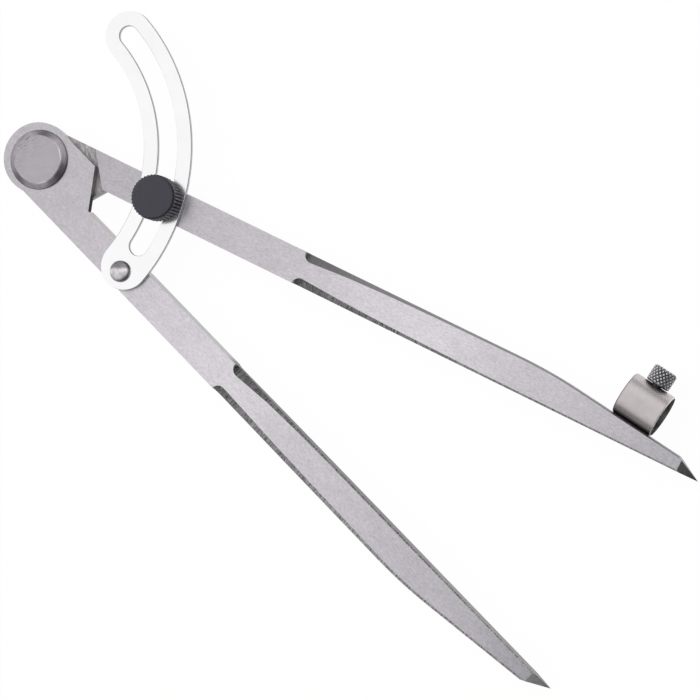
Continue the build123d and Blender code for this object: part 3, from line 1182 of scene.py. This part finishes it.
def makeRing():
    # Turned tube with painted shade on the side that meets the leg and a painted highlight on the
    # screw's side. Its bore and rear edge carry a dark painted shade, its front edge a painted
    # highlight, and its saw-cut ends a near-black painted shade.
    low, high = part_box("pencil_ring")
    centre = Vector(((low.x + high.x) / 2, high.y - ringLook["radius"], (low.z + high.z) / 2))
    shade = (tuple(screwAxis), tuple(centre), ringLook["paintedShadeAndHighlight"])
    outside, shadedBore, highlitEdge, shadedEnd = range(4)
    finishes = [
        steel("tubeSteel", tubeTurned, ringTurn, shade),
        steel("boreShadeSteel", tubeBoreShade, ringTurn),
        steel("edgeHighlightSteel", tubeEdgeHighlight, ringTurn),
        steel("endShadeSteel", tubeEndShade, ringTurn),
    ]
    ring = cadSkin("pencil_ring", "pencilRing", finishes, ringLook["rounding"])
    offset = faceRows(ring.data, "center") - np.array(centre)
    along = np.array(screwAxis.cross((0, 0, 1)))
    facing = faceRows(ring.data, "normal") @ along
    fromAxis = np.linalg.norm(offset - np.outer(offset @ along, along), axis=1)
    region = np.full(len(facing), outside)
    # The bore and rear edge take the painted shade, the front edge the painted highlight, and the
    # ends the darkest painted shade
    region[(fromAxis < ringLook["boreEdge"]) | (facing < -ringLook["edgeFacing"])] = shadedBore
    region[facing > ringLook["edgeFacing"]] = highlitEdge
    region[np.abs(facing) > ringLook["endFacing"]] = shadedEnd
    paintFaces(ring.data, region)
    settle(ring, "rear_side")


screwLook = {
    "radius": 1.5 * mm,
    "pitch": 0.5 * mm,
    "headRadius": 3.35 * mm,
    "headHeight": 4.65 * mm,
    "grooves": 18,
    "samples": 16,
    "grooveDepth": 0.24 * mm,
    "grooveSlope": 0.9,           # turns of the pattern per pitch of grooves up the head
    "vSlope": 1.6,                # above 1 the grooves have a flat bottom
    "fadeIn": 0.1 * mm,           # height over which the pattern gets its depth
    "rim": 0.3 * mm,              # chamfer at the base
    "rimSoft": 0.1,               # share of the chamfer by which its edges are broken
    "collar": 0.25 * mm,          # plain ring above the chamfer
    "collarPaintedShadow": 0.85,           # painted shadow under the head, as dark as this share of a groove
    "round": 0.8 * mm,            # radius of the top's edge
    "roundSteps": 8,
    "roundShare": 0.9,            # the pattern runs this share of the way round that edge
    "boreRadius": 1.55 * mm,
    "boreDepth": 2.65 * mm,
    "rows": 60,                   # of points up the head
    "sharpTurn": 60,
}


def screwBase():
    # Where the head's flat underside meets the screw's axis, from the head's own box
    low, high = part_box("pencil_screw_head")
    centre = (low + high) / 2
    return centre - screwAxis * (screwLook["headHeight"] / 2)


def makeScrewHead():
    # Two sets of V grooves wind opposite ways round the head and leave diamonds between them. The
    # depth at a point follows the nearer groove, counted by angle plus or minus height.
    tall = screwLook["headHeight"]
    outer = screwLook["headRadius"]
    edge = screwLook["round"]
    rim = screwLook["rim"]
    soft = rim * screwLook["rimSoft"]
    curve = np.linspace(0, np.pi / 2, screwLook["roundSteps"])[1:-1]
    start = rim + screwLook["collar"]
    body = np.linspace(start, tall - edge, screwLook["rows"])
    crown = np.stack([outer - edge * (1 - np.cos(curve)), tall - edge * (1 - np.sin(curve))], axis=1)
    profile = np.concatenate(
        [
            [
                (0, screwLook["boreDepth"]),
                (screwLook["boreRadius"], screwLook["boreDepth"]),
                (screwLook["boreRadius"], 0),
                (outer - rim, 0),
                (outer - soft, rim - soft),
                (outer, rim + soft),
                (outer, start - soft),
            ],
            np.stack([np.full(len(body), outer), body], axis=1),
            crown,
            [(outer - edge, tall), (0, tall)],
        ]
    )
    spacing = 2 * np.pi * outer / screwLook["grooves"]

    def knurl(radius, height, angle):
        turnCount = angle * screwLook["grooves"] / (2 * np.pi)
        rise = height / spacing * screwLook["grooveSlope"]
        left = np.abs((turnCount + rise) % 1 - 0.5) * 2
        right = np.abs((turnCount - rise) % 1 - 0.5) * 2
        nearer = np.minimum(1 - left, 1 - right)
        groove = np.clip(screwLook["vSlope"] * (1 - nearer * 2), 0, 1)
        reach = np.clip((height - start) / screwLook["fadeIn"], 0, 1)
        reach = reach * (radius > outer - edge * screwLook["roundShare"])
        # Painted shade: dark in the grooves, and a painted shadow on the chamfer and plain collar
        # under the head
        shadow = np.maximum(groove * reach, (height < start) * screwLook["collarPaintedShadow"])
        return radius - screwLook["grooveDepth"] * groove * reach, height, shadow

    sides = screwLook["grooves"] * screwLook["samples"]
    place = axisFrame(screwBase(), screwAxis)
    sharpTurn = screwLook["sharpTurn"]
    head = turnedPiece("pencilScrewHead", profile, sides, place, screwSteel, knurl, sharpTurn)
    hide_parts("pencil_screw_head")
    settle(head, "screw_head")


def makeScrewShank():
    # Threaded rod on the screw's axis. The Y side of its box is length * axis.y plus what the round
    # ends add, 2 * radius * |axis.x|. The fade's limits lie far beyond both ends, so the thread keeps
    # its depth.
    low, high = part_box("pencil_screw_shank")
    centre = (low + high) / 2
    outer = screwLook["radius"]
    length = (high.y - low.y - 2 * outer * abs(screwAxis.x)) / screwAxis.y
    start = centre - screwAxis * (length / 2)
    rows = threadRows(0, length, screwLook["pitch"])
    side = np.stack([np.full(len(rows), outer), rows], axis=1)
    profile = np.concatenate([[(0, 0)], side, [(0, length)]])
    shaping = threadShape(outer, screwLook["pitch"], -length, length * 2)
    place = axisFrame(start, screwAxis)
    shank = turnedPiece("pencilScrewShank", profile, threadLook["sides"], place, screwSteel, shaping)
    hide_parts("pencil_screw_shank")
    settle(shank, "screw_shank")


makeRing()
makeScrewHead()
makeScrewShank()
print("pencil ring and screw done")
